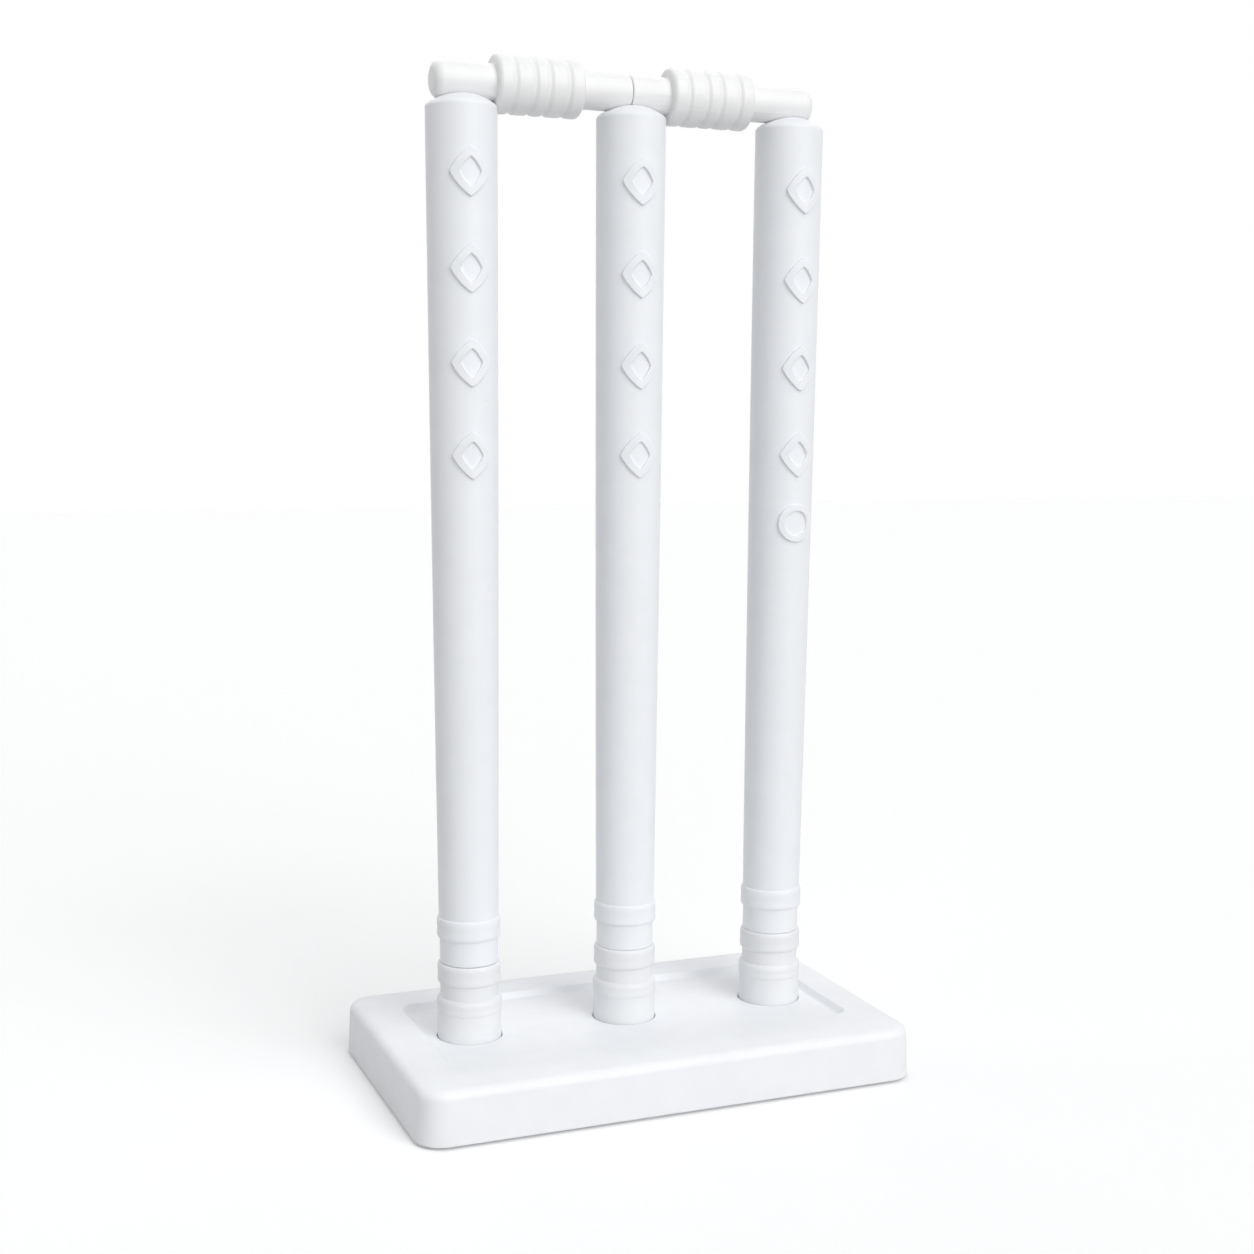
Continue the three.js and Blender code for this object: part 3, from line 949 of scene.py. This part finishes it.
@dataclass
class Bail:
    """One loose bail: a grooved barrel between a short and a long spigot."""

    name: str
    side: int
    low: Vector
    high: Vector
    spigot_radius: float
    short_spigot: float
    sides: int = 144
    barrel_length: float = 47.4 * MM
    inner_round: float = 0.8 * MM
    outer_round: float = 5.4 * MM
    barrel_round: float = 2.6 * MM
    groove_depth: float = 1.3 * MM
    groove_width: float = 3.6 * MM
    groove_shares: tuple[float, ...] = (-0.63, -0.173, 0.173, 0.63)
    crown: float = 0.15 * MM
    seam_rise: float = 0.13 * MM
    seam_turn: float = -36.0
    seam_least_share: float = 0.99
    root_round: float = 0.4 * MM
    crown_round: float = 8 * MM
    groove_edge: float = 1.6 * MM
    groove_round: float = 0.5 * MM
    round_steps: int = 7

    @property
    def barrel_radius(self) -> float:
        """Radius of the barrel."""
        return (self.high.z - self.low.z) / 2

    def outline(self) -> list[Point]:
        """Points from the short spigot's end to the long one's."""
        length = self.high.x - self.low.x
        start, end = self.short_spigot, self.short_spigot + self.barrel_length
        middle = (start + end) / 2
        barrel = self.barrel_radius - self.crown
        corners: list[Corner] = [(0, 0, 0), (self.spigot_radius, 0, self.inner_round),
                                 (self.spigot_radius, start, self.root_round),
                                 (barrel, start, self.barrel_round)]
        edges = [start, *(middle + share * self.barrel_length / 2 for share in self.groove_shares), end]
        for i, centre in enumerate(edges[1:-1]):
            crown = (edges[i] + centre) / 2
            corners += [(self.barrel_radius, crown, self.crown_round),
                        (barrel, centre - self.groove_width / 2, self.groove_edge),
                        (barrel - self.groove_depth, centre, self.groove_round),
                        (barrel, centre + self.groove_width / 2, self.groove_edge)]
        corners += [(self.barrel_radius, (edges[-2] + end) / 2, self.crown_round),
                    (barrel, end, self.barrel_round), (self.spigot_radius, end, self.root_round),
                    (self.spigot_radius, length, self.outer_round), (0, length, 0)]
        return rounded_outline(corners, self.round_steps)

    def build(self) -> Object:
        """Builds the bail with the faint ridge that the two halves of its mould leave."""
        bm = spun(self.outline(), ALONG, self.sides)
        for vert in bm.verts:
            radius = math.hypot(vert.co.y, vert.co.z)
            if radius < self.spigot_radius * self.seam_least_share:
                continue
            angle = math.degrees(math.atan2(vert.co.z, -vert.co.y)) - self.seam_turn
            off = min(angle % HALF_TURN_DEGREES, HALF_TURN_DEGREES - angle % HALF_TURN_DEGREES)
            if off < HALF_TURN_DEGREES / self.sides:
                vert.co.y *= (radius + self.seam_rise) / radius
                vert.co.z *= (radius + self.seam_rise) / radius
        if self.side < 0:
            turned = Matrix.Rotation(HALF_TURN, 3, "Z")
            bmesh.ops.rotate(bm, cent=(0, 0, 0), matrix=turned, verts=bm.verts)
        inner = self.low.x if self.side > 0 else self.high.x
        height = (self.low.z + self.high.z) / 2
        bmesh.ops.translate(bm, vec=(inner, 0, height), verts=bm.verts)
        return smoothed(as_object(bm, self.name))


def heading(turn: float, rise: float) -> Vector:
    """Direction at a turn from +Y towards +X and a rise over the ground, in radians."""
    return Vector((math.sin(turn) * math.cos(rise), math.cos(turn) * math.cos(rise), math.sin(rise)))


@dataclass(frozen=True)
class Lamp:
    """A broad distant lamp.

    Attributes:
        name: Name of the lamp.
        azimuth: Where it stands, in degrees from the front towards +X.
        elevation: How high it stands, in degrees.
        strength: Light that it gives a surface that faces it, as a share of white.
        spread: Angle that it fills, in degrees.
    """

    name: str
    azimuth: float
    elevation: float
    strength: float
    spread: float

    def build(self) -> None:
        """Adds the lamp to the scene."""
        data = bpy.data.lights.new(self.name, "SUN")
        data.energy = self.strength * math.pi
        data.angle = math.radians(self.spread)
        lamp = bpy.data.objects.new(self.name, data)
        towards = heading(math.radians(self.azimuth), math.radians(self.elevation))
        towards.y = -towards.y
        lamp.rotation_euler = towards.to_track_quat("Z", "Y").to_euler()
        bpy.context.scene.collection.objects.link(lamp)


@dataclass(frozen=True)
class Studio:
    """The floor, the white surroundings, the lamps and the camera.

    The camera and reflections see floor_colour, floor_lift and white surroundings; the light itself
    meets floor_bounce and sky. The camera's turns are in radians, and its focal length and axis in
    pixels of the photograph's frame.
    """

    floor_size: float = 12.0
    floor_colour: Colour = (0.98, 0.98, 0.98)
    floor_bounce: Colour = (0.58, 0.58, 0.58)
    floor_lift: Colour = (0.13, 0.13, 0.13)
    sky: Colour = (0.25, 0.254, 0.26)
    lamps: tuple[Lamp, ...] = (
        Lamp("key_lamp", 20, 35, 0.22, 40),
        Lamp("key_high_lamp", 30, 60, 0.19, 40),
        Lamp("key_low_lamp", 20, 10, 0.195, 40),
        Lamp("front_lamp", 0, 30, 0.11, 40),
        Lamp("front_low_lamp", -25, 10, 0.07, 40),
        Lamp("left_lamp", -90, 20, 0.085, 60),
        Lamp("back_left_lamp", -150, 45, 0.165, 60),
        Lamp("back_right_lamp", 150, 45, 0.115, 60),
    )
    camera_place: Corner = (-0.382187, -0.934715, 0.381229)
    camera_yaw: float = 0.3852
    camera_pitch: float = 0.1945
    camera_roll: float = 0.0075
    focal_pixels: float = 1785.58
    axis_pixels: Point = (620.75, 762.25)
    frame_pixels: float = 1254.0
    sensor: float = 36.0
    nearest: float = 0.01
    farthest: float = 100.0

    @staticmethod
    def seen(sheet: Sheet) -> NodeSocket:
        """Gives 1 where the camera or a reflection looks, and 0 for the light itself."""
        path = sheet.node("ShaderNodeLightPath").outputs
        reflected = sheet.math("MAXIMUM", path["Is Glossy Ray"], path["Is Transmission Ray"])
        return sheet.math("MAXIMUM", path["Is Camera Ray"], reflected)

    def build_floor(self) -> None:
        """Lays the pale floor."""
        bm = bmesh.new()
        bmesh.ops.create_grid(bm, x_segments=1, y_segments=1, size=self.floor_size / 2)
        floor = as_object(bm, "floor")
        material = bpy.data.materials.new("floor_white")
        material.use_nodes = True
        shader = material.node_tree.nodes["Principled BSDF"]
        sheet = Sheet(material.node_tree)
        seen = self.seen(sheet)
        sheet.fill(shader, {
            "Base Color": sheet.mixed(seen, self.floor_bounce, self.floor_colour),
            "Emission Color": sheet.mixed(seen, BLACK, self.floor_lift),
            "Emission Strength": 1.0, "Roughness": 1.0, "Specular IOR Level": 0.0})
        floor.data.materials.append(material)

    def build_sky(self) -> None:
        """Surrounds the scene with even light that the camera and reflections see as white."""
        world = bpy.data.worlds.new("surroundings")
        bpy.context.scene.world = world
        world.use_nodes = True
        sheet = Sheet(world.node_tree)
        sheet.fill(world.node_tree.nodes["Background"], {
            "Color": sheet.mixed(self.seen(sheet), self.sky, WHITE), "Strength": 1.0})

    def build_camera(self) -> None:
        """Sets the camera where the photograph was taken from."""
        data = bpy.data.cameras.new("camera")
        camera = bpy.data.objects.new("camera", data)
        bpy.context.scene.collection.objects.link(camera)
        bpy.context.scene.camera = camera
        data.sensor_fit = "HORIZONTAL"
        data.sensor_width = self.sensor
        data.lens = self.focal_pixels / self.frame_pixels * self.sensor
        data.shift_x = (self.frame_pixels / 2 - self.axis_pixels[0]) / self.frame_pixels
        data.shift_y = (self.axis_pixels[1] - self.frame_pixels / 2) / self.frame_pixels
        data.clip_start, data.clip_end = self.nearest, self.farthest
        ahead = heading(self.camera_yaw, -self.camera_pitch)
        right = Vector((math.cos(self.camera_yaw), -math.sin(self.camera_yaw), 0.0))
        above = right.cross(ahead)
        level, tilt = math.cos(self.camera_roll), math.sin(self.camera_roll)
        axes = (right * level + above * tilt, -right * tilt + above * level, -ahead)
        camera.matrix_world = Matrix.Translation(self.camera_place) @ Matrix(axes).transposed().to_4x4()

    def build(self) -> None:
        """Builds the whole studio."""
        self.build_camera()
        self.build_floor()
        self.build_sky()
        for lamp in self.lamps:
            lamp.build()


@dataclass
class Wicket:
    """The whole set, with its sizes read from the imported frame."""

    finishes: Finishes = field(default_factory=Finishes)
    bail_sink: float = 4 * MM
    bail_spigot_radius: float = 9.7 * MM
    left_short_spigot: float = 28.2 * MM
    right_short_spigot: float = 22.4 * MM
    foot_bead: float = 0.45 * MM
    open_seam: float = 0.25 * MM
    mark_turns: dict[Place, float] = field(default_factory=lambda: {
        Place.LEFT: -3.0, Place.MIDDLE: -2.0, Place.RIGHT: 4.0})

    def build(self) -> None:
        """Builds, dresses and places every piece."""
        tray_low, tray_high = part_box("base_tray")
        foot_low, foot_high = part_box("stump_foot_left")
        shaft_low, shaft_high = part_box("stump_shaft_left")
        bail_low, bail_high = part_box("bail_right")
        spacing = -(shaft_low.x + shaft_high.x) / 2
        top_radius = (shaft_high.x - shaft_low.x) / 2
        bail_axis = (bail_low.z + bail_high.z) / 2
        stump_top = bail_axis - self.bail_spigot_radius + self.bail_sink
        foot_radius = (foot_high.x - foot_low.x) / 2 - self.foot_bead
        base = BaseTray(tray_low, tray_high, spacing, foot_radius)
        self.add(base.build(), BASE_PLASTIC, "base", "base_tray")
        for (place, mark_turn), step in zip(self.mark_turns.items(), (-1, 0, 1)):
            stump = Stump(place, step * spacing, base.tray_floor, stump_top, foot_low.z, top_radius,
                          foot_radius, bail_axis, self.bail_spigot_radius, mark_turn)
            if place is Place.LEFT:
                stump.seam_gap = self.open_seam
            body = f"stump_{place.value}"
            shaft, foot, marks = stump.build()
            self.add(shaft, STUMP_PLASTIC, body, f"stump_shaft_{place.value}")
            self.add(foot, FOOT_PLASTIC, body, f"stump_foot_{place.value}")
            for mark in marks:
                self.add(mark, STUMP_PLASTIC, body)
        for name, side, short_spigot in (("bail_left", -1, self.left_short_spigot),
                                         ("bail_right", 1, self.right_short_spigot)):
            low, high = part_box(name)
            bail = Bail(f"{name}_body", side, low, high, self.bail_spigot_radius, short_spigot)
            self.add(bail.build(), BAIL_PLASTIC, name, name)

    def add(self, obj: Object, finish: MouldedPlastic, body: str, *nodes: str) -> None:
        """Dresses a piece and makes it ride on its body and stand for its nodes."""
        self.finishes.dress(obj, finish)
        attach(obj, body)
        if nodes:
            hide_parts(*nodes)
        log.info("%s rides on %s: %d faces", obj.name, body, len(obj.data.polygons))


def dress_frame(finishes: Finishes) -> None:
    """Gives the hidden nodes of the frame their finishes too."""
    kinds = {"base": BASE_PLASTIC, "stump_foot": FOOT_PLASTIC,
             "stump_shaft": STUMP_PLASTIC, "bail": BAIL_PLASTIC}
    for name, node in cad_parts.items():
        finish = next(finish for kind, finish in kinds.items() if name.startswith(kind))
        finishes.dress(node, finish)


def main() -> None:
    """Builds the studio and the set in order."""
    logging.basicConfig(level=logging.INFO, format="%(message)s")
    bpy.context.scene.view_settings.view_transform = "Standard"
    Studio().build()
    wicket = Wicket()
    wicket.build()
    dress_frame(wicket.finishes)


if __name__ == "__main__":
    main()
